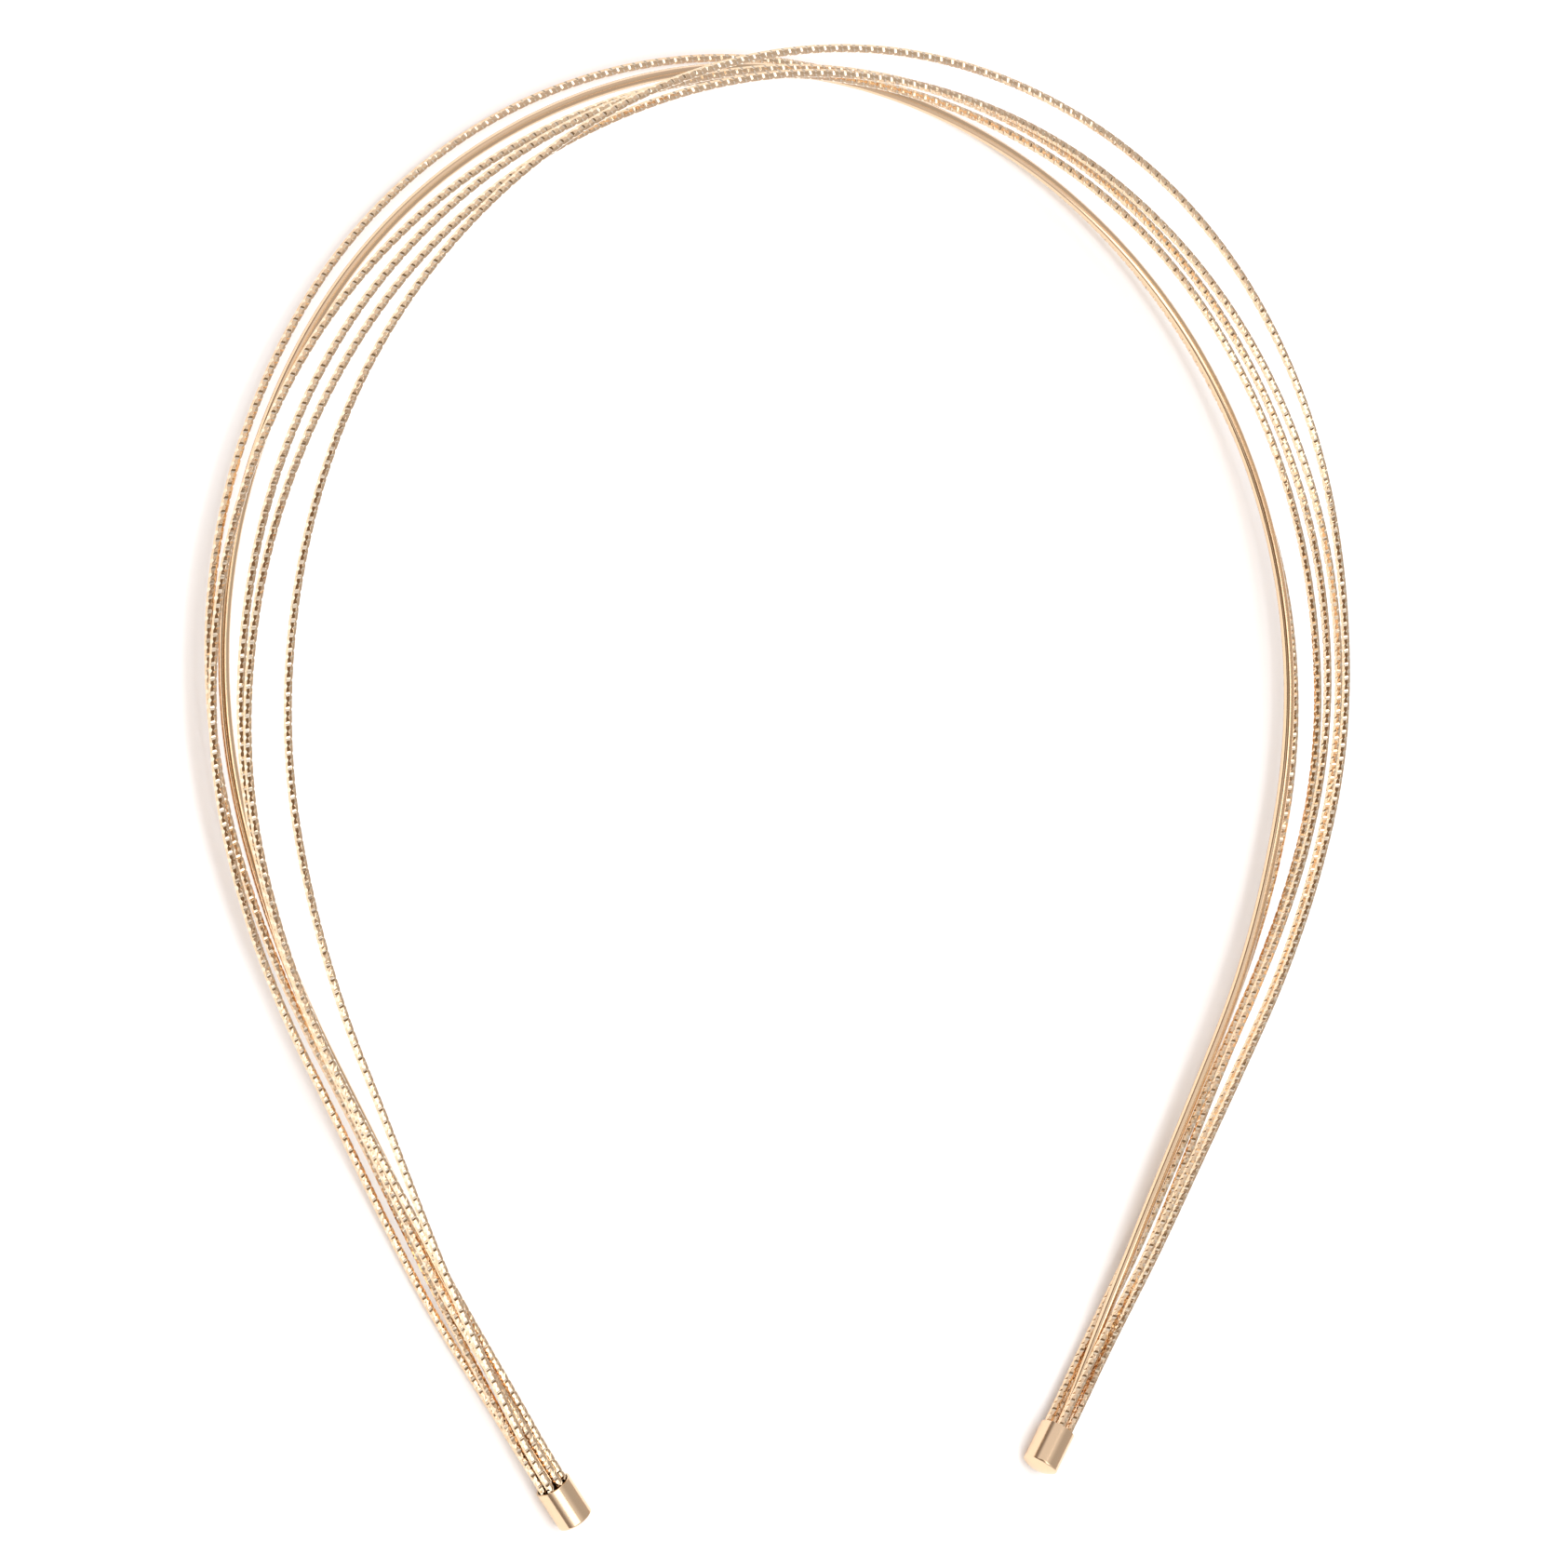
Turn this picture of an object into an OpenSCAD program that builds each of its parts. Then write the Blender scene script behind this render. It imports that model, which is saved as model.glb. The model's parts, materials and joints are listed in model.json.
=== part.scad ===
// A metal headband of five notched wires and one plain rod, gathered into two end caps.
// It lies on its side: X runs across the head, Y from the caps to the crown, Z from back to front.

/* [Band curve] */
// Radius of the arc over the crown
crown_r = 70; // [66:0.5:74]
// Half of the angle that the crown arc turns through
crown_turn = 45; // [42:0.5:48]
// Radius of the arc past each temple
temple_r = 65; // [62:0.5:68]
// Angle that each temple arc turns through
temple_turn = 60; // [57:0.5:63]
// Radius of the arc behind each ear
ear_r = 105; // [95:1:115]
// Angle that each ear arc turns through
ear_turn = 13.5; // [12:0.5:15]
// Length of the straight leg on the left
left_leg = 45.25; // [42:0.25:48]
// Length of the straight leg on the right
right_leg = 43.25; // [42:0.25:48]
// Radius of the inward bend above each cap
end_r = 60; // [55:1:70]
// Angle that each end bend turns through
end_turn = 6; // [4:0.5:8]

/* [Wires] */
// Diameter of a notched wire
wire_d = 0.9; // [0.7:0.05:0.9]
// Diameter of the plain base rod
rod_d = 1.2; // [1:0.05:1.2]
// Depth that the wires reach into a cap
wire_depth = 3.2; // [2:0.1:3.2]

/* [End caps] */
// Outer diameter of a cap
cap_d = 4; // [4:0.1:4.4]
// Length of a cap from its mouth to the edge of its dome
cap_len = 4.6; // [4.5:0.1:6]
// Height of the dome on a cap's closed end
dome_h = 0.6; // [0.4:0.05:1]
// Wall thickness of a cap at its mouth
cap_wall = 0.2; // [0.15:0.05:0.25]
// Room between the outer wires and the wall of a cap's bore
seat_play = 0.07; // [0.05:0.01:0.1]
// Room between the wires' ends and the bottom of a cap's bore
end_play = 0.1; // [0.05:0.05:0.3]

/* [Hidden] */

gold = [0.86, 0.68, 0.40];
pale_gold = [0.90, 0.74, 0.46];
sides = 8;          // facets round a wire
half_rings = 48;    // rings of facets from the crown to a cap's mouth
bore_fn = 48;

LEFT = -1;
RIGHT = 1;

// Columns of a course: millimetres out from the band curve, and millimetres towards the front
OUT = 0;
FRONT = 1;

// The course of each wire beside the band curve, at even steps from the crown to a cap's mouth.
// The first rows serve both sides, and each side then has two rows of its own.
back_arch = [[0.25, -1.5], [0.25, -1.5], [0.5, -1], [0.75, -0.25], [1.5, 0.5], [1.5, 0.75]];
back_left = [[0.75, 0], [1.25, -0.25]];
back_right = [[1, 0.25], [1, -1]];

second_arch = [[-2.75, 9], [-2.25, 8.5], [-0.75, 7.5], [1, 5.5], [2.5, 3.75], [3.25, 2.25]];
second_left = [[2.5, 0.25], [2.25, -1.25]];
second_right = [[2.25, 0.25], [2, -1.25]];

middle_arch = [[-2.5, 12.25], [-2.25, 12], [-1.25, 10.75], [0, 9], [1.25, 7.5], [2, 5.25]];
middle_left = [[1.75, 3], [1.5, 1.5]];
middle_right = [[1.25, 3], [1.75, 1.25]];

fourth_arch = [[-3.5, 16.25], [-3.25, 15.75], [-2, 14], [-0.5, 12], [1.25, 9.5], [2.5, 6.75]];
fourth_left = [[2.25, 4.5], [0.75, 2.5]];
fourth_right = [[2.25, 4.5], [1, 2.75]];

front_arch = [[-1.5, 21.5], [-1.5, 21], [-1.25, 19.5], [-1, 16.75], [-0.75, 13.75], [0.25, 11]];
front_left = [[1, 7.75], [2, 4.5]];
front_right = [[0.75, 7.75], [1, 4.25]];

rod_arch = [[-1.25, 2], [-1.25, 2], [-0.75, 1.75], [-0.25, 1.75], [0.25, 1.5], [0.25, 1.25]];
rod_left = [[0.5, 1.5], [0.5, 0.75]];
rod_right = [[0.25, 1.25], [-0.25, 1]];

// Inside a cap the notched wires stand in a ring, at these angles from outward towards the front
seat_r = cap_d / 2 - cap_wall - wire_d / 2 - seat_play;
function seat(angle) = seat_r * [cos(angle), sin(angle)];

// Each wire as its diameter and its two courses, left and right, down to its seats
DIAMETER = 0;
LEFT_COURSE = 1;
RIGHT_COURSE = 2;
function strand(d, arch, left, right, seats) =
    [d, concat(arch, left, [seats[0]]), concat(arch, right, [seats[1]])];

back = strand(wire_d, back_arch, back_left, back_right, [seat(-4), seat(203)]);
second = strand(wire_d, second_arch, second_left, second_right, [seat(-52), seat(272)]);
middle = strand(wire_d, middle_arch, middle_left, middle_right, [seat(94), seat(342)]);
fourth = strand(wire_d, fourth_arch, fourth_left, fourth_right, [seat(146), seat(116)]);
front = strand(wire_d, front_arch, front_left, front_right, [seat(44), seat(54)]);
rod = strand(rod_d, rod_arch, rod_left, rod_right, [[-0.15, -0.15], [0, 0.1]]);

// The band curve, as runs from the crown to a cap's mouth: a radius and a turn in degrees,
// or a radius of 0 and a length
function runs(side) = [
    [crown_r, crown_turn],
    [temple_r, temple_turn],
    [ear_r, ear_turn],
    [0, side == LEFT ? left_leg : right_leg],
    [end_r, end_turn]
];
function run_length(run) = run[0] == 0 ? run[1] : run[0] * run[1] * PI / 180;
function half_length(side) = sum([for (run = runs(side)) run_length(run)]);
function sum(values, i = 0) = i == len(values) ? 0 : values[i] + sum(values, i + 1);

// A pose is [x, y, heading], with x outwards and the heading in degrees below the X axis
function advance(pose, run, d) =
    run[0] == 0
        ? [pose.x + d * cos(pose.z), pose.y - d * sin(pose.z), pose.z]
        : let (heading = pose.z + d / run[0] * 180 / PI)
            [pose.x + run[0] * (sin(heading) - sin(pose.z)),
             pose.y - run[0] * (cos(pose.z) - cos(heading)),
             heading];
function pose_at(course_runs, s, i = 0, pose = [0, 0, 0]) =
    let (d = run_length(course_runs[i]))
    s <= d || i == len(course_runs) - 1
        ? advance(pose, course_runs[i], s)
        : pose_at(course_runs, s - d, i + 1, advance(pose, course_runs[i], d));
function mouth_pose(side) = pose_at(runs(side), half_length(side));

// Smooth blend through the rows of a course, level at the crown and at the mouth
function mirrored(i, last) = i < 0 ? -i : i > last ? 2 * last - i : i;
function blend(a, b, c, d, f) =
    b + f * (c - a) / 2 + f * f * (2 * a - 5 * b + 4 * c - d) / 2
      + f * f * f * (3 * b - a - 3 * c + d) / 2;
function beside(rows, u) =
    let (
        last = len(rows) - 1,
        i = min(floor(u), last - 1),
        near = [for (k = [-1:2]) rows[mirrored(i + k, last)]]
    )
    blend(near[0], near[1], near[2], near[3], u - i);

// One ring of facets round a wire, in the plane that squares off the band curve there
function ring(pose, side, place, d) = [
    for (k = [0:sides - 1])
        let (
            a = (k + 0.5) * 360 / sides,
            r = d / 2 / cos(180 / sides),
            out = place[OUT] + r * cos(a)
        )
        [side * (pose.x + out * sin(pose.z)), pose.y + out * cos(pose.z), place[FRONT] + r * sin(a)]
];
function ring_at(w, side, step) =
    let (
        rows = w[side == LEFT ? LEFT_COURSE : RIGHT_COURSE],
        along = step / half_rings
    )
    ring(
        pose_at(runs(side), along * half_length(side)), side,
        beside(rows, along * (len(rows) - 1)), w[DIAMETER]
    );
function end_ring(w, side) =
    let (rows = w[side == LEFT ? LEFT_COURSE : RIGHT_COURSE])
    ring(
        advance(mouth_pose(side), [0, 0], wire_depth), side, rows[len(rows) - 1], w[DIAMETER]
    );
function wire_rings(w) = concat(
    [end_ring(w, LEFT)],
    [for (step = [half_rings:-1:1]) ring_at(w, LEFT, step)],
    [for (step = [0:half_rings]) ring_at(w, RIGHT, step)],
    [end_ring(w, RIGHT)]
);
function joined(lists) = [for (list = lists) each list];

// The box that the headband fills, worked out from its own points, sets the origin
cap_edge_drop = cap_len * sin(mouth_pose(LEFT).z) - cap_d / 2 * cos(mouth_pose(LEFT).z);
outline = joined([for (w = [back, second, middle, fourth, front, rod]) joined(wire_rings(w))]);
low_y = min(mouth_pose(LEFT).y, mouth_pose(RIGHT).y) - cap_edge_drop;
high_y = max([for (p = outline) p.y]);
mid_x = (min([for (p = outline) p.x]) + max([for (p = outline) p.x])) / 2;
origin_shift = [-mid_x, -(low_y + high_y) / 2, cap_d / 2];

module wire(w) {
    rings = wire_rings(w);
    last = len(rings) - 1;
    walls = [
        for (i = [0:last - 1], k = [0:sides - 1])
            let (a = i * sides + k, b = i * sides + (k + 1) % sides)
            each [[a, a + sides, b + sides], [a, b + sides, b]]
    ];
    ends = [
        [for (k = [0:sides - 1]) k],
        [for (k = [sides - 1:-1:0]) last * sides + k]
    ];
    translate(origin_shift) polyhedron(joined(rings), concat(walls, ends));
}

module back_wire() { color(gold) wire(back); }
module second_wire() { color(gold) wire(second); }
module middle_wire() { color(gold) wire(middle); }
module fourth_wire() { color(gold) wire(fourth); }
module front_wire() { color(gold) wire(front); }
module base_rod() { color(pale_gold) wire(rod); }

// A cap stands on its mouth, with its bore open downwards and its dome on top
module cap() {
    dome_r = (dome_h * dome_h + cap_d * cap_d / 4) / (2 * dome_h);
    difference() {
        intersection() {
            cylinder(d = cap_d, h = cap_len + dome_h, $fn = bore_fn);
            translate([0, 0, cap_len + dome_h - dome_r]) sphere(r = dome_r, $fn = bore_fn * 2);
        }
        translate([0, 0, -1])
            cylinder(d = cap_d - 2 * cap_wall, h = 1 + wire_depth + end_play, $fn = bore_fn);
    }
}

// Puts a cap at the mouth end of the band curve, on one side
module at_mouth(side) {
    pose = mouth_pose(side);
    translate(origin_shift)
        translate([side * pose.x, pose.y, 0])
            rotate([0, 0, side == LEFT ? pose.z - 90 : 90 - pose.z])
                rotate([90, 0, 0]) children();
}

module left_cap() { color(pale_gold) at_mouth(LEFT) cap(); }
module right_cap() { color(pale_gold) at_mouth(RIGHT) cap(); }

back_wire();
second_wire();
middle_wire();
fourth_wire();
front_wire();
base_rod();
left_cap();
right_cap();
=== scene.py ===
"""Finishes a metal headband: five notched wires and a plain rod, gathered into two end caps."""

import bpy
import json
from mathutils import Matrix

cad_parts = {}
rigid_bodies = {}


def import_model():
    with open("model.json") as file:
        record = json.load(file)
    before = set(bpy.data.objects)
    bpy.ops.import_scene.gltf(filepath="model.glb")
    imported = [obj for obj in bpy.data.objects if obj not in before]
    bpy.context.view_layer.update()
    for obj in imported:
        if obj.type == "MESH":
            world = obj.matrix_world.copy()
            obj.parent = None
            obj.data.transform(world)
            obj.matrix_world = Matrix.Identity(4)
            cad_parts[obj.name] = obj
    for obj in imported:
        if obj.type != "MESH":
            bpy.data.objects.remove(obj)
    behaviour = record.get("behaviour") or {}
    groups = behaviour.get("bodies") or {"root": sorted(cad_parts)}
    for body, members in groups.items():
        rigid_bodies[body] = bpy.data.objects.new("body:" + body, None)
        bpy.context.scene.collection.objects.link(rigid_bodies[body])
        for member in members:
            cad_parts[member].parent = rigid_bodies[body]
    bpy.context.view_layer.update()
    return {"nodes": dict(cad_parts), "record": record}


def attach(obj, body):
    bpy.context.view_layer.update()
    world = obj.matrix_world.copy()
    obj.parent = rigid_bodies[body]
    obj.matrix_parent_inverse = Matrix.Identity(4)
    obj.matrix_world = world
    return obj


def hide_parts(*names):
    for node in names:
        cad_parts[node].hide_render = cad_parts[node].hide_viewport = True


bl_info = {
    "name": "Notched Wire Headband",
    "version": (1, 0, 0),
    "blender": (4, 5, 0),
    "location": "View3D > Sidebar > Headband",
    "description": "Models a metal headband's notched wires, plain rod and end caps, with a stage",
    "category": "Object",
}

import json
import math

import bmesh
import bpy
from bpy.props import FloatProperty, FloatVectorProperty, IntProperty, PointerProperty
from mathutils import Matrix, Vector

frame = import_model()

NOTCHED_WIRES = ("back_wire", "second_wire", "middle_wire", "fourth_wire", "front_wire")
CAP_MOUNTS = {"left_cap": "left_tip", "right_cap": "right_tip"}

# Corners nearer to each other than this are one
MERGE_DISTANCE = 1e-7
# Edges round a packed strand are shorter than this, and edges along it are longer
RING_EDGE_LIMIT = 0.002
# Steps between two points of a strand's course
COURSE_STEPS = 8

WIRE_SIDES = 8
# Two waves by which a wire strays: radians from end to end, and from one wire to the next
STRAY_WAVES = ((3 * math.pi, 0.74 * math.pi), (9, 2.1))
# A face's normal points up by more than this on the top face and the two beside it,
UPPER_FACES = 0.6
# and by more than this on the top face and the slopes of a notch in it
TOP_FACE = 0.8
# The normal of a notch's slope points along the wire by more than this
NOTCH_SLOPE = 0.2
# Edges of a notched wire that are sharper than this are softened
SOFTENED_EDGE = math.radians(15)

# Edges sharper than these aren't shaded smooth
ROD_CREASE = math.radians(40)
CAP_CREASE = math.radians(30)
# The normal of a cap's flat end points along the cap by more than this
FLAT_END = 0.5
DOME_RINGS = 8
RIM_STEPS = 4
MOUTH_STEPS = 2
# How far a bore's wall leans in from its mouth to its bottom
BORE_LEAN = 0.000005

# How finely the shift in colour and the grain are broken up
SHIFT_DETAIL = 2
GRAIN_DETAIL = 4

FLOOR_SIZE = 6
FLOOR_ROUGHNESS = 0.7
# Where each change in the studio's light starts and ends, as parts of a direction of length 1:
# low down from the far side to the ends, low down and overhead from behind to ahead, and upwards
ENDS_SPAN = (0.4, 0.75)
LOW_SPAN = (-1, 0.2)
HIGH_SPAN = (0.1, 0.6)
RISE_SPAN = (0.25, 0.55)
# The darker patch where the camera stands: the way to its middle, and where it starts and ends
PATCH_MIDDLE = (-0.56, -0.1, 0.823)
PATCH_SPAN = (0.85, 0.955)
# Each soft light's place, and its width and height
KEY_LIGHT = ((-0.217, -0.757, 0.906), (0.45, 0.85))
TOP_LIGHT = ((-0.13, 0.04, 1.2), (0.5, 0.5))
FLOOR_LIGHT = ((0, 0, 1.5), (3, 3))

# The camera's place, and the ways to its back and its right
CAMERA_PLACE = (-0.514, -0.0284, 0.7643)
CAMERA_BACK = Vector((-0.5587, -0.0319, 0.8287))
CAMERA_RIGHT = Vector((0.829, -0.045, 0.557))
CAMERA_LENS = 196.5
CAMERA_SHIFT = (0.0056, -0.0084)
# The nearest and furthest that the camera sees
CAMERA_REACH = (0.05, 20)


class HeadbandWires(bpy.types.PropertyGroup):
    """Sizes of the notched wires."""

    width: FloatProperty(
        name="Width", description="Across the flat faces of a notched wire",
        default=0.00086, min=0.0006, max=0.0009, precision=5, unit="LENGTH")
    softness: FloatProperty(
        name="Softness", description="Width of the narrow faces that soften a notched wire's edges",
        default=0.000015, min=0, max=0.00004, precision=6, unit="LENGTH")
    pitch: FloatProperty(
        name="Pitch", description="From one notch to the next on the same face",
        default=0.0015, min=0.001, max=0.002, precision=5, unit="LENGTH")
    notch_length: FloatProperty(
        name="Notch length", description="Length of a notch along its wire",
        default=0.00043, min=0.0001, max=0.0005, precision=5, unit="LENGTH")
    notch_depth: FloatProperty(
        name="Notch depth", description="Depth of a notch at its middle",
        default=0.000085, min=0.00002, max=0.00012, precision=5, unit="LENGTH")
    slant: FloatProperty(
        name="Slant", description="Angle by which a notch leans from square across its wire",
        default=math.radians(12), min=0, max=math.radians(20), subtype="ANGLE")
    turn: FloatProperty(
        name="Turn",
        description="Angle by which a wire has turned about its own line from the crown to a temple",
        default=math.radians(33), min=0, max=math.radians(45), subtype="ANGLE")
    wander: FloatProperty(
        name="Wander", description="Largest angle by which a wire strays from that turn",
        default=math.radians(2.5), min=0, max=math.radians(20), subtype="ANGLE")
    unevenness: FloatProperty(
        name="Unevenness", description="Largest distance by which the cut faces wander from true",
        default=0.000006, min=0, max=0.00001, precision=6, unit="LENGTH")


class HeadbandRod(bpy.types.PropertyGroup):
    """Sizes of the plain rod."""

    radius: FloatProperty(
        name="Radius", description="Radius of the plain rod",
        default=0.0006, min=0.0004, max=0.0006, precision=5, unit="LENGTH")
    sides: IntProperty(
        name="Sides", description="Faces round the rod, an even number", default=12, min=8, max=48)


class HeadbandCaps(bpy.types.PropertyGroup):
    """Sizes of the end caps, beside the radius and length that the frame gives."""

    wall: FloatProperty(
        name="Wall", description="Thickness of a cap's wall at its mouth",
        default=0.0002, min=0.0001, max=0.0003, precision=5, unit="LENGTH")
    bore_depth: FloatProperty(
        name="Bore depth", description="Depth of a cap's bore from its mouth",
        default=0.0033, min=0.002, max=0.004, precision=5, unit="LENGTH")
    dome: FloatProperty(
        name="Dome", description="Height of the dome on a cap's closed end",
        default=0.0006, min=0.0003, max=0.0008, precision=5, unit="LENGTH")
    rim: FloatProperty(
        name="Rim", description="Width of the rounded edge between a cap's side and its dome",
        default=0.00012, min=0.00005, max=0.0002, precision=5, unit="LENGTH")
    mouth: FloatProperty(
        name="Mouth", description="Width of the rounded edges at a cap's mouth",
        default=0.00004, min=0.00001, max=0.00008, precision=5, unit="LENGTH")
    sides: IntProperty(name="Sides", description="Faces round a cap", default=96, min=32, max=128)


class HeadbandFinish(bpy.types.PropertyGroup):
    """Colours and polish of the gold plating."""

    gold: FloatVectorProperty(
        name="Gold", description="Colour of the pale gold plating",
        default=(0.88, 0.67, 0.43), min=0, max=1, subtype="COLOR")
    rose: FloatVectorProperty(
        name="Rose", description="Colour of the plating where it is thin and shows rosier",
        default=(0.86, 0.61, 0.41), min=0, max=1, subtype="COLOR")
    # The cut gold is a paler gold on the notches' slopes, which paints their highlight
    cut: FloatVectorProperty(
        name="Cut gold", description="Colour of the bright metal in the notches",
        default=(0.99, 0.91, 0.76), min=0, max=1, subtype="COLOR")
    shift_scale: FloatProperty(
        name="Shift scale", description="How often the plating shifts between its colours, per metre",
        default=90, min=1)
    dulling: FloatProperty(
        name="Dulling", description="Amount by which the grain makes the plating rougher and smoother",
        default=0.05, min=0, max=0.1)
    ripple: FloatProperty(
        name="Ripple", description="Depth of the grain in the plating",
        default=0.000002, min=0, max=0.00001, precision=6, unit="LENGTH")
    wire_grain: FloatVectorProperty(
        name="Wire grain", description="Marks per metre on the strands, along each axis",
        default=(3000, 3000, 3000), min=0)
    cap_grain: FloatVectorProperty(
        name="Cap grain", description="Marks round a cap and along it",
        default=(6, 120, 1), min=0)
    wire_polish: FloatProperty(
        name="Wire roughness", description="Roughness of the notched wires",
        default=0.09, min=0, max=1)
    cap_polish: FloatProperty(
        name="Cap roughness", description="Roughness of the rod and the caps",
        default=0.14, min=0, max=1)


class HeadbandStage(bpy.types.PropertyGroup):
    """Colours and brightness of the floor and the studio's light."""

    floor_colour: FloatVectorProperty(
        name="Floor", description="Colour of the pale floor",
        default=(0.93, 0.93, 0.93), min=0, max=1, subtype="COLOR")
    low_behind: FloatVectorProperty(
        name="Low behind", description="Light from low down behind the camera",
        default=(0.13, 0.09, 0.058), min=0, max=2, subtype="COLOR")
    low_ahead: FloatVectorProperty(
        name="Low ahead", description="Light from low down on the far side",
        default=(0.55, 0.51, 0.5), min=0, max=2, subtype="COLOR")
    low_beside: FloatVectorProperty(
        name="Low beside", description="Light from low down past the crown and past the end caps",
        default=(0.68, 0.66, 0.7), min=0, max=2, subtype="COLOR")
    high_behind: FloatVectorProperty(
        name="High behind", description="Light from overhead, towards the camera",
        default=(0.87, 0.85, 0.87), min=0, max=2, subtype="COLOR")
    high_ahead: FloatVectorProperty(
        name="High ahead", description="Light from overhead, towards the far side",
        default=(0.52, 0.5, 0.5), min=0, max=2, subtype="COLOR")
    camera_side: FloatVectorProperty(
        name="Camera side", description="Light from where the camera stands",
        default=(0.22, 0.155, 0.105), min=0, max=2, subtype="COLOR")
    key_brightness: FloatProperty(
        name="Key", description="Brightness of the soft light past the end caps", default=1.6, min=0)
    top_brightness: FloatProperty(
        name="Top", description="Brightness of the soft light overhead", default=1.8, min=0)
    floor_brightness: FloatProperty(
        name="Floor light", description="Brightness of the broad light that only the floor takes",
        default=1.16, min=0)


def leave_all():
    """Deselects everything, so that an operator acts only on what is picked next."""
    bpy.ops.object.select_all(action="DESELECT")


def pick(piece):
    """Makes a piece the only one selected, and the active one."""
    leave_all()
    piece.select_set(True)
    bpy.context.view_layer.objects.active = piece


def edit(piece, kind):
    """Opens a picked piece in edit mode with nothing selected, for corners, edges or faces."""
    bpy.ops.object.mode_set(mode="EDIT")
    bpy.ops.mesh.select_mode(type=kind)
    bpy.ops.mesh.select_all(action="DESELECT")
    return bmesh.from_edit_mesh(piece.data)


def choose(piece, parts, test):
    """Selects the corners, edges or faces that pass a test, and no others."""
    for part in parts:
        part.select_set(test(part))
    bmesh.update_edit_mesh(piece.data)


def apply_modifiers(piece):
    """Applies a picked piece's modifiers in order."""
    for name in [modifier.name for modifier in piece.modifiers]:
        bpy.ops.object.modifier_apply(modifier=name)


def centreline(node, name):
    """A smooth curve along the middle of a strand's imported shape."""
    pick(frame["nodes"][node])
    bpy.ops.object.duplicate()
    line = bpy.context.active_object
    line.name = name
    bpy.ops.object.parent_clear(type="CLEAR_KEEP_TRANSFORM")
    # The copy isn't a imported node, so it drops the marks that the frame put on the node
    for key in list(line.keys()):
        del line[key]
    edit(line, "VERT")
    bpy.ops.mesh.select_all(action="SELECT")
    bpy.ops.mesh.remove_doubles(threshold=MERGE_DISTANCE)
    bpy.ops.mesh.select_mode(type="EDGE")
    mesh = bmesh.from_edit_mesh(line.data)
    # Each ring shrinks to its middle, which leaves one chain of edges
    choose(line, mesh.edges, lambda edge: edge.calc_length() < RING_EDGE_LIMIT)
    bpy.ops.mesh.merge(type="COLLAPSE")
    bpy.ops.object.mode_set(mode="OBJECT")
    bpy.ops.object.convert(target="CURVE")
    line.data.dimensions = "3D"
    line.data.twist_mode = "Z_UP"
    line.data.resolution_u = COURSE_STEPS
    line.data.use_stretch = True
    line.data.use_deform_bounds = True
    bpy.ops.object.mode_set(mode="EDIT")
    bpy.ops.curve.select_all(action="SELECT")
    bpy.ops.curve.spline_type_set(type="BEZIER")
    bpy.ops.curve.handle_type_set(type="AUTOMATIC")
    bpy.ops.object.mode_set(mode="OBJECT")
    return line


def bar(sizes):
    """One pitch of eight-sided wire along X from the origin, with open ends, left in edit mode."""
    leave_all()
    bpy.ops.mesh.primitive_cylinder_add(
        vertices=WIRE_SIDES, radius=sizes.width / 2 / math.cos(math.pi / WIRE_SIDES),
        depth=sizes.pitch, end_fill_type="NOTHING", rotation=(0, math.pi / 2, 0))
    piece = bpy.context.active_object
    bpy.ops.object.transform_apply(location=True, rotation=True, scale=True)
    edit(piece, "VERT")
    bpy.ops.mesh.select_all(action="SELECT")
    bpy.ops.transform.rotate(value=math.pi / WIRE_SIDES, orient_axis="X", center_override=(0, 0, 0))
    bpy.ops.transform.translate(value=(sizes.pitch / 2, 0, 0))
    return piece


def cut_notch(piece, sizes, middle):
    """Cuts a notch across the top face, which widens into the two faces beside it as it deepens."""
    lean = Vector((1, math.tan(sizes.slant), 0))
    for step in (-1, 0, 1):
        place = Vector((middle + step * sizes.notch_length / 2, 0, 0))
        mesh = bmesh.from_edit_mesh(piece.data)
        mesh.normal_update()
        choose(piece, mesh.faces, lambda face: face.normal.z > UPPER_FACES)
        bpy.ops.mesh.bisect(plane_co=place, plane_no=lean.normalized())
    level = sizes.width / 2 - sizes.notch_depth
    half_face = sizes.width / 2 * math.tan(math.pi / WIRE_SIDES)
    widen = 1 + sizes.notch_depth / half_face
    bottom = Vector((middle, 0, level))
    mesh = bmesh.from_edit_mesh(piece.data)
    choose(piece, mesh.verts, lambda corner: (
        abs((corner.co - bottom).dot(lean)) < MERGE_DISTANCE
        and corner.co.z > level + MERGE_DISTANCE))
    bpy.ops.transform.resize(value=(widen, widen, 0), center_override=bottom)
    mesh = bmesh.from_edit_mesh(piece.data)
    mesh.normal_update()
    # The notch's slopes take the active material, a paler gold that paints their highlight
    choose(piece, mesh.faces, lambda face: (
        face.normal.z > TOP_FACE and abs(face.normal.x) > NOTCH_SLOPE))
    bpy.ops.object.material_slot_assign()


def notched_length(sizes, gold, cut):
    """One pitch of notched wire: neighbouring faces are notched half a pitch apart."""
    piece = bar(sizes)
    piece.data.materials.append(gold)
    piece.data.materials.append(cut)
    # The second material is a paler gold for the notches' slopes, which paints their highlight
    piece.active_material_index = 1
    for face in range(WIRE_SIDES):
        cut_notch(piece, sizes, sizes.pitch * (1 + 2 * (face % 2)) / 4)
        bpy.ops.mesh.select_all(action="SELECT")
        bpy.ops.transform.rotate(
            value=2 * math.pi / WIRE_SIDES, orient_axis="X", center_override=(0, 0, 0))
    bpy.ops.mesh.normals_make_consistent(inside=False)
    bpy.ops.object.mode_set(mode="OBJECT")
    return piece


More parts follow.
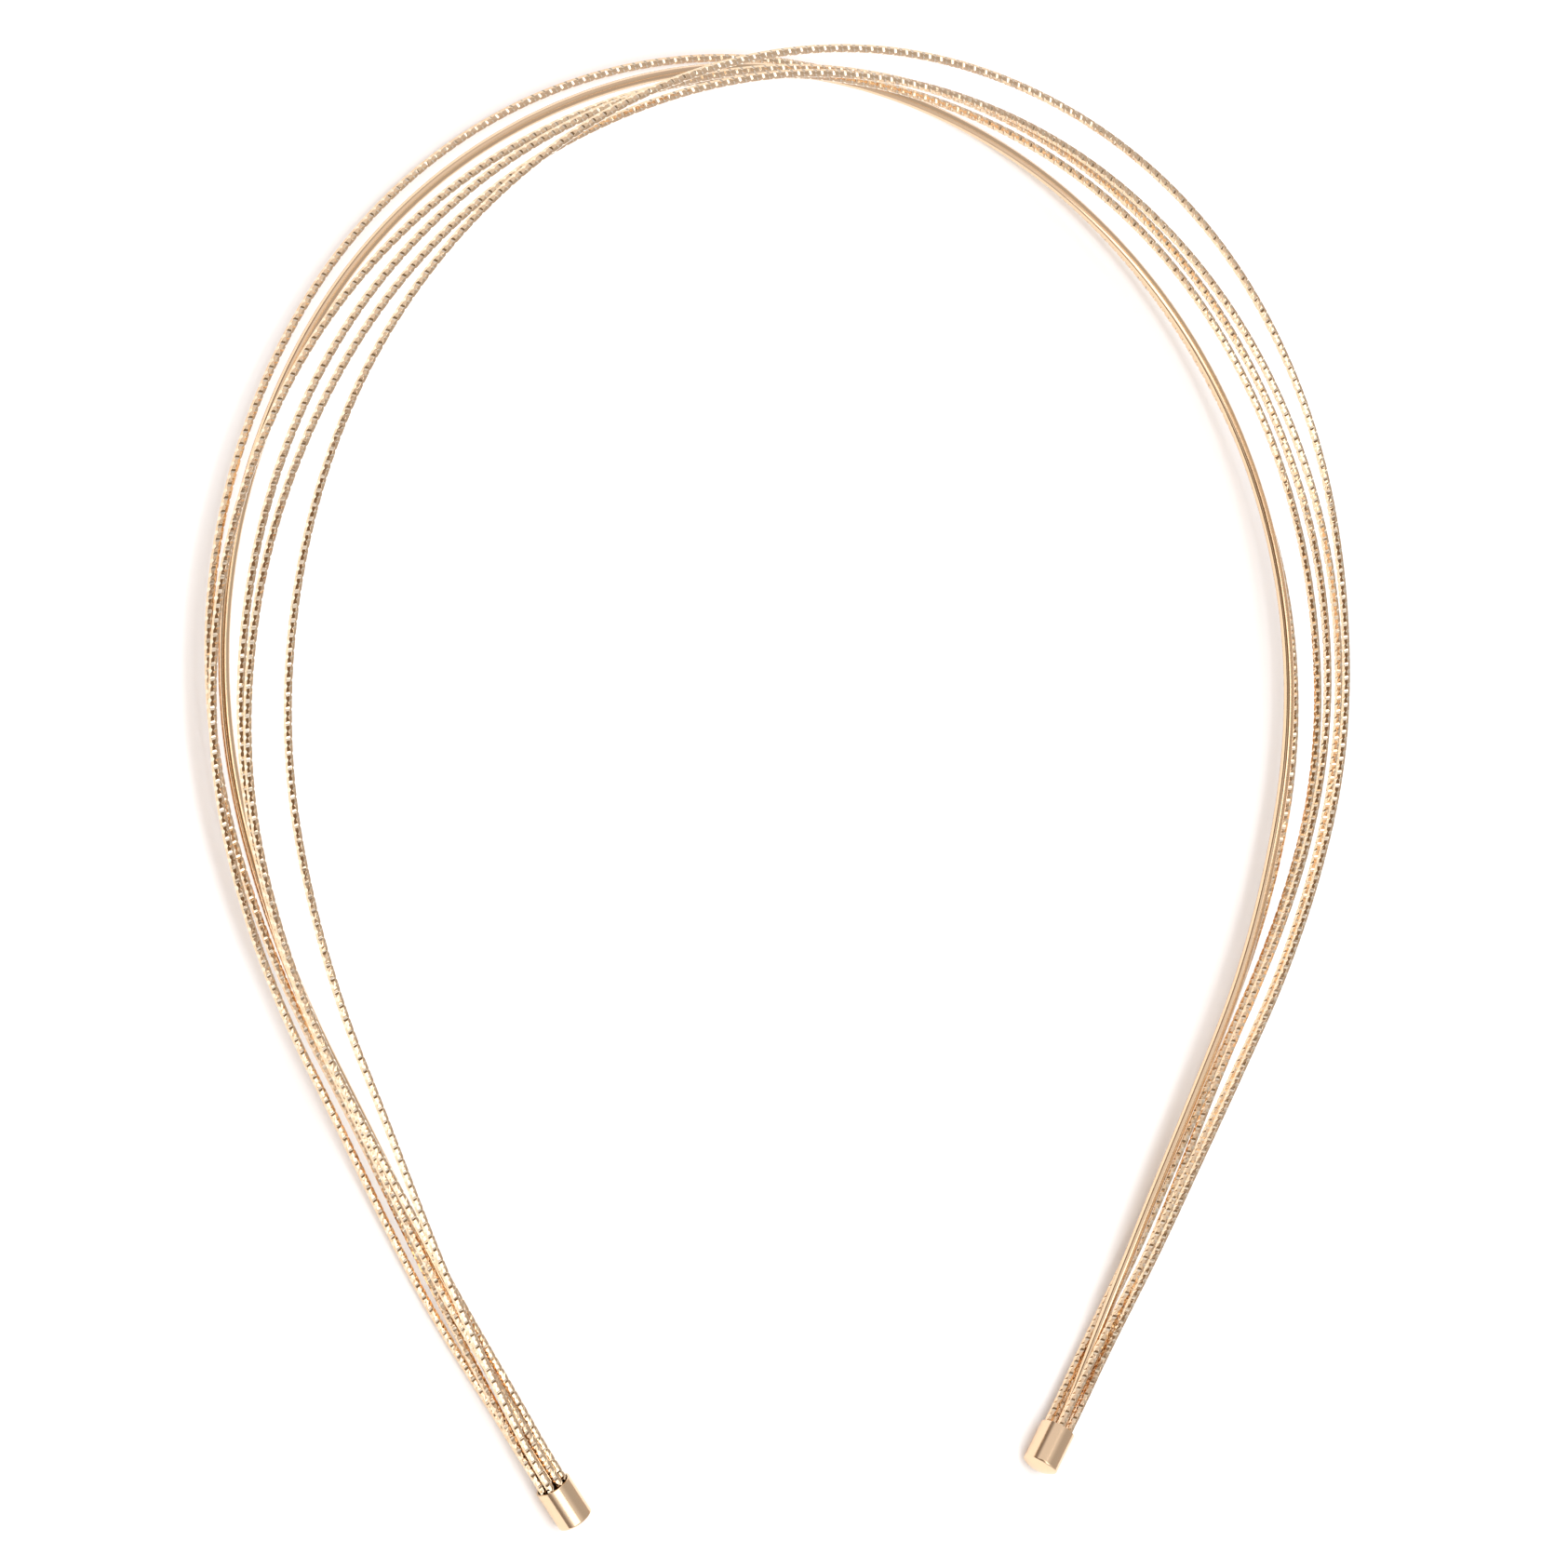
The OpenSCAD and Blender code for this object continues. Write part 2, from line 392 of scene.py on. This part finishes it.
def turn_along(line, sizes, order):
    """Turns a wire about its own line: its top leans outwards on the left and inwards on the right."""
    points = line.data.splines[0].bezier_points
    for i, point in enumerate(points):
        along = i / (len(points) - 1)
        stray = sum(math.sin(whole * along + apart * order) for whole, apart in STRAY_WAVES)
        # The turn is at its full from halfway between the crown and each cap
        past_crown = max(-0.5, min(0.5, 2 * along - 1))
        point.tilt = sizes.turn * math.sin(math.pi * past_crown) + sizes.wander * stray / 2


def notched_wire(node, order, sizes, gold, cut):
    """A whole notched wire in place of a packed one."""
    line = centreline(node, "course")
    turn_along(line, sizes, order)
    piece = notched_length(sizes, gold, cut)
    piece.name = "notched_" + node
    pick(piece)
    row = piece.modifiers.new("row", "ARRAY")
    row.fit_type = "FIXED_COUNT"
    row.count = round(line.data.splines[0].calc_length() / sizes.pitch)
    row.use_relative_offset = False
    row.use_constant_offset = True
    row.constant_offset_displace = (sizes.pitch, 0, 0)
    row.use_merge_vertices = True
    row.merge_threshold = MERGE_DISTANCE
    soften = piece.modifiers.new("soften", "BEVEL")
    soften.width = sizes.softness
    soften.segments = 1
    soften.limit_method = "ANGLE"
    soften.angle_limit = SOFTENED_EDGE
    bend = piece.modifiers.new("bend", "CURVE")
    bend.object = line
    bend.deform_axis = "POS_X"
    apply_modifiers(piece)
    # The two open ends are closed, and then every corner moves by a hair
    edit(piece, "EDGE")
    bpy.ops.mesh.select_non_manifold()
    bpy.ops.mesh.fill()
    bpy.ops.mesh.select_mode(type="VERT")
    bpy.ops.mesh.select_all(action="SELECT")
    bpy.ops.transform.vertex_random(offset=sizes.unevenness, uniform=1, seed=order)
    bpy.ops.mesh.normals_make_consistent(inside=False)
    bpy.ops.object.mode_set(mode="OBJECT")
    bpy.data.objects.remove(line)
    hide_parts(node)
    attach(piece, "root")


def plain_rod(sizes, material):
    """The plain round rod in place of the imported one."""
    line = centreline("base_rod", "plain_base_rod")
    line.data.bevel_depth = sizes.radius
    # A round profile has four faces, and two more for each step of its resolution
    line.data.bevel_resolution = (sizes.sides - 4) // 2
    line.data.use_fill_caps = True
    pick(line)
    bpy.ops.object.convert(target="MESH")
    piece = bpy.context.active_object
    edit(piece, "VERT")
    bpy.ops.mesh.select_all(action="SELECT")
    bpy.ops.mesh.remove_doubles(threshold=MERGE_DISTANCE)
    bpy.ops.mesh.normals_make_consistent(inside=False)
    bpy.ops.object.mode_set(mode="OBJECT")
    bpy.ops.object.shade_smooth_by_angle(angle=ROD_CREASE)
    piece.data.materials.clear()
    piece.data.materials.append(material)
    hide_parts("base_rod")
    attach(piece, "root")


def raise_dome(radius, dome):
    """Raises the picked flat end of a cap into a dome, one ring at a time."""
    sphere = (dome ** 2 + radius ** 2) / (2 * dome)
    reach, height = radius, 0
    for ring in range(1, DOME_RINGS):
        next_reach = radius * (1 - ring / DOME_RINGS)
        next_height = math.sqrt(sphere ** 2 - next_reach ** 2) - sphere + dome
        bpy.ops.mesh.inset(thickness=reach - next_reach, depth=next_height - height)
        reach, height = next_reach, next_height
    bpy.ops.mesh.poke(offset=dome - height)
    bpy.ops.mesh.select_all(action="DESELECT")


def on_circle(edge, height, radius):
    """Tells whether an edge lies on a circle about the Z axis."""
    return all(
        abs(corner.co.z - height) < MERGE_DISTANCE
        and abs(corner.co.xy.length - radius) < MERGE_DISTANCE
        for corner in edge.verts)


def end_cap(node, mount, sizes, material):
    """A domed cap with a thin wall at its mouth, in place of a packed one."""
    radius = mount["dims"]["r_mm"] / 1000
    length = mount["dims"]["length_mm"] / 1000
    leave_all()
    bpy.ops.mesh.primitive_cylinder_add(
        vertices=sizes.sides, radius=radius, depth=length, end_fill_type="NGON")
    piece = bpy.context.active_object
    piece.name = "domed_" + node
    mesh = edit(piece, "FACE")
    choose(piece, mesh.faces, lambda face: face.normal.z > FLAT_END)
    raise_dome(radius, sizes.dome)

    # The other end is hollowed out into the bore
    mesh = bmesh.from_edit_mesh(piece.data)
    choose(piece, mesh.faces, lambda face: face.normal.z < -FLAT_END)
    bpy.ops.mesh.inset(thickness=sizes.wall)
    bpy.ops.mesh.inset(thickness=BORE_LEAN, depth=-sizes.bore_depth)

    bpy.ops.mesh.select_mode(type="EDGE")
    mesh = bmesh.from_edit_mesh(piece.data)
    choose(piece, mesh.edges, lambda edge: on_circle(edge, length / 2, radius))
    bpy.ops.mesh.bevel(offset=sizes.rim, segments=RIM_STEPS, affect="EDGES")
    mesh = bmesh.from_edit_mesh(piece.data)
    choose(piece, mesh.edges, lambda edge: (
        on_circle(edge, -length / 2, radius) or on_circle(edge, -length / 2, radius - sizes.wall)))
    bpy.ops.mesh.bevel(offset=sizes.mouth, segments=MOUTH_STEPS, affect="EDGES")
    bpy.ops.object.mode_set(mode="OBJECT")

    turn = Vector(mount["axis"]).to_track_quat("Z", "Y").to_matrix().to_4x4()
    piece.matrix_world = Matrix.Translation(mount["pos_m"]) @ turn
    bpy.ops.object.transform_apply(location=True, rotation=True, scale=True)
    bpy.ops.object.shade_smooth_by_angle(angle=CAP_CREASE)
    # Broad faces are kept flat beside the narrow ones of the rounded edges
    weigh = piece.modifiers.new("weigh", "WEIGHTED_NORMAL")
    weigh.keep_sharp = True
    apply_modifiers(piece)
    piece.data.materials.append(material)
    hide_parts(node)
    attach(piece, "root")


def gold_material(name, finish, colours, roughness, coordinates, grain):
    """Gold plating that shifts between two colours, with a fine grain that dulls and ripples it."""
    material = bpy.data.materials.new(name)
    material.use_nodes = True
    nodes = material.node_tree.nodes
    links = material.node_tree.links
    shader = nodes["Principled BSDF"]
    shader.inputs["Metallic"].default_value = 1
    place = nodes.new("ShaderNodeTexCoord")

    shift = nodes.new("ShaderNodeTexNoise")
    shift.inputs["Scale"].default_value = finish.shift_scale
    shift.inputs["Detail"].default_value = SHIFT_DETAIL
    links.new(place.outputs["Object"], shift.inputs["Vector"])
    mix = nodes.new("ShaderNodeMix")
    mix.data_type = "RGBA"
    mix.inputs["A"].default_value = (*colours[0], 1)
    mix.inputs["B"].default_value = (*colours[1], 1)
    links.new(shift.outputs["Fac"], mix.inputs["Factor"])
    links.new(mix.outputs["Result"], shader.inputs["Base Color"])

    # The mapping gives the grain its size along each axis, so the noise keeps a scale of 1
    stretch = nodes.new("ShaderNodeMapping")
    stretch.inputs["Scale"].default_value = grain
    links.new(place.outputs[coordinates], stretch.inputs["Vector"])
    marks = nodes.new("ShaderNodeTexNoise")
    marks.inputs["Scale"].default_value = 1
    marks.inputs["Detail"].default_value = GRAIN_DETAIL
    links.new(stretch.outputs["Vector"], marks.inputs["Vector"])
    dull = nodes.new("ShaderNodeMapRange")
    dull.inputs["To Min"].default_value = roughness - finish.dulling
    dull.inputs["To Max"].default_value = roughness + finish.dulling
    links.new(marks.outputs["Fac"], dull.inputs["Value"])
    links.new(dull.outputs["Result"], shader.inputs["Roughness"])
    ripple = nodes.new("ShaderNodeBump")
    ripple.inputs["Strength"].default_value = 1
    ripple.inputs["Distance"].default_value = finish.ripple
    links.new(marks.outputs["Fac"], ripple.inputs["Height"])
    links.new(ripple.outputs["Normal"], shader.inputs["Normal"])
    return material


def fade(tree, value, span, start, end):
    """A colour that goes smoothly from one to another as a value crosses a span."""
    scale = tree.nodes.new("ShaderNodeMapRange")
    scale.interpolation_type = "SMOOTHSTEP"
    scale.inputs["From Min"].default_value, scale.inputs["From Max"].default_value = span
    tree.links.new(value, scale.inputs["Value"])
    mix = tree.nodes.new("ShaderNodeMix")
    mix.data_type = "RGBA"
    tree.links.new(scale.outputs["Result"], mix.inputs["Factor"])
    for socket, colour in ((mix.inputs["A"], start), (mix.inputs["B"], end)):
        if isinstance(colour, bpy.types.NodeSocket):
            tree.links.new(colour, socket)
        else:
            socket.default_value = (*colour, 1)
    return mix.outputs["Result"]


def studio_world(stage):
    """Soft light from all round, dimmest low down behind the camera."""
    world = bpy.data.worlds.new("studio")
    world.use_nodes = True
    tree = world.node_tree
    place = tree.nodes.new("ShaderNodeTexCoord")
    parts = tree.nodes.new("ShaderNodeSeparateXYZ")
    tree.links.new(place.outputs["Generated"], parts.inputs["Vector"])
    nearness = tree.nodes.new("ShaderNodeVectorMath")
    nearness.operation = "DOT_PRODUCT"
    nearness.inputs[1].default_value = PATCH_MIDDLE
    tree.links.new(place.outputs["Generated"], nearness.inputs[0])
    beside = tree.nodes.new("ShaderNodeMath")
    beside.operation = "ABSOLUTE"
    tree.links.new(parts.outputs["Y"], beside.inputs[0])

    low = fade(tree, beside.outputs["Value"], ENDS_SPAN, stage.low_ahead, stage.low_beside)
    low = fade(tree, parts.outputs["X"], LOW_SPAN, stage.low_behind, low)
    high = fade(tree, parts.outputs["X"], HIGH_SPAN, stage.high_behind, stage.high_ahead)
    sky = fade(tree, parts.outputs["Z"], RISE_SPAN, low, high)
    sky = fade(tree, nearness.outputs["Value"], PATCH_SPAN, sky, stage.camera_side)
    tree.links.new(sky, tree.nodes["Background"].inputs["Color"])
    return world


def soft_light(name, place, size, brightness, floor_only=False):
    """A large soft light that faces the headband and isn't seen itself.

    One for the floor alone casts no shadow and doesn't show in the metal.
    """
    leave_all()
    bpy.ops.object.light_add(type="AREA", location=place)
    light = bpy.context.active_object
    light.name = name
    light.visible_camera = False
    light.visible_glossy = not floor_only
    light.data.use_shadow = not floor_only
    light.data.shape = "RECTANGLE"
    light.data.size, light.data.size_y = size
    light.data.energy = brightness * math.pi * size[0] * size[1]
    light.rotation_euler = (-Vector(place)).to_track_quat("-Z", "Y").to_euler()


def pale_floor(colour):
    """The plain floor that the headband lies on."""
    leave_all()
    bpy.ops.mesh.primitive_plane_add(size=FLOOR_SIZE)
    floor = bpy.context.active_object
    floor.name = "floor"
    paint = bpy.data.materials.new("floor")
    paint.use_nodes = True
    shader = paint.node_tree.nodes["Principled BSDF"]
    shader.inputs["Base Color"].default_value = (*colour, 1)
    shader.inputs["Roughness"].default_value = FLOOR_ROUGHNESS
    floor.data.materials.append(paint)


def photo_camera():
    """The camera, at the photograph's viewing angle."""
    bpy.ops.object.camera_add()
    camera = bpy.context.active_object
    camera.name = "camera"
    back = CAMERA_BACK.normalized()
    right = (CAMERA_RIGHT - CAMERA_RIGHT.dot(back) * back).normalized()
    turn = Matrix((right, back.cross(right), back)).transposed().to_4x4()
    camera.matrix_world = Matrix.Translation(CAMERA_PLACE) @ turn
    camera.data.lens = CAMERA_LENS
    camera.data.shift_x, camera.data.shift_y = CAMERA_SHIFT
    camera.data.clip_start, camera.data.clip_end = CAMERA_REACH
    return camera


class HEADBAND_OT_notched_wires(bpy.types.Operator):
    """Models the five notched wires"""

    bl_idname = "headband.notched_wires"
    bl_label = "Notched wires"

    def execute(self, context):
        settings = context.scene
        finish = settings.headband_finish
        gold = gold_material(
            "notched_gold", finish, (finish.gold, finish.rose),
            finish.wire_polish, "Object", finish.wire_grain)
        # A paler gold for the notches' slopes, which paints their highlight
        cut = gold_material(
            "notch_highlight_gold", finish, (finish.cut, finish.gold),
            finish.wire_polish, "Object", finish.wire_grain)
        for order, node in enumerate(NOTCHED_WIRES):
            notched_wire(node, order, settings.headband_wires, gold, cut)
        return {"FINISHED"}


class HEADBAND_OT_base_rod(bpy.types.Operator):
    """Models the plain rod"""

    bl_idname = "headband.base_rod"
    bl_label = "Base rod"

    def execute(self, context):
        settings = context.scene
        finish = settings.headband_finish
        material = gold_material(
            "plain_gold", finish, (finish.gold, finish.rose),
            finish.cap_polish, "Object", finish.wire_grain)
        plain_rod(settings.headband_rod, material)
        return {"FINISHED"}


class HEADBAND_OT_end_caps(bpy.types.Operator):
    """Models the two end caps"""

    bl_idname = "headband.end_caps"
    bl_label = "End caps"

    def execute(self, context):
        settings = context.scene
        finish = settings.headband_finish
        material = gold_material(
            "cap_gold", finish, (finish.gold, finish.rose),
            finish.cap_polish, "UV", finish.cap_grain)
        mounts = {mount["name"]: mount for mount in frame["record"]["mounts"]}
        for node, mount in CAP_MOUNTS.items():
            end_cap(node, mounts[mount], settings.headband_caps, material)
        return {"FINISHED"}


class HEADBAND_OT_stage(bpy.types.Operator):
    """Lays the floor and sets the lights and the camera"""

    bl_idname = "headband.stage"
    bl_label = "Stage"

    def execute(self, context):
        scene = context.scene
        stage = scene.headband_stage
        pale_floor(stage.floor_colour)
        scene.world = studio_world(stage)
        scene.view_settings.view_transform = "Standard"
        soft_light("key", *KEY_LIGHT, stage.key_brightness)
        soft_light("top_light", *TOP_LIGHT, stage.top_brightness)
        soft_light("floor_light", *FLOOR_LIGHT, stage.floor_brightness, floor_only=True)
        scene.camera = photo_camera()
        return {"FINISHED"}


class HEADBAND_PT_panel(bpy.types.Panel):
    """Lists the headband's sizes and the steps that build it"""

    bl_idname = "HEADBAND_PT_panel"
    bl_label = "Headband"
    bl_space_type = "VIEW_3D"
    bl_region_type = "UI"
    bl_category = "Headband"

    def draw(self, context):
        for group in SETTINGS:
            box = self.layout.box()
            settings = getattr(context.scene, group)
            for name in settings.bl_rna.properties.keys():
                if name not in ("rna_type", "name"):
                    box.prop(settings, name)
        for step in STEPS:
            self.layout.operator(step.bl_idname)


SETTINGS = {
    "headband_wires": HeadbandWires,
    "headband_rod": HeadbandRod,
    "headband_caps": HeadbandCaps,
    "headband_finish": HeadbandFinish,
    "headband_stage": HeadbandStage,
}
STEPS = (
    HEADBAND_OT_notched_wires,
    HEADBAND_OT_base_rod,
    HEADBAND_OT_end_caps,
    HEADBAND_OT_stage,
)
CLASSES = (*SETTINGS.values(), *STEPS, HEADBAND_PT_panel)


def register():
    for part in CLASSES:
        bpy.utils.register_class(part)
    for name, group in SETTINGS.items():
        setattr(bpy.types.Scene, name, PointerProperty(type=group))


def unregister():
    for name in SETTINGS:
        delattr(bpy.types.Scene, name)
    for part in reversed(CLASSES):
        bpy.utils.unregister_class(part)


def main():
    register()
    bpy.ops.headband.notched_wires()
    bpy.ops.headband.base_rod()
    bpy.ops.headband.end_caps()
    bpy.ops.headband.stage()


if __name__ == "__main__":
    main()
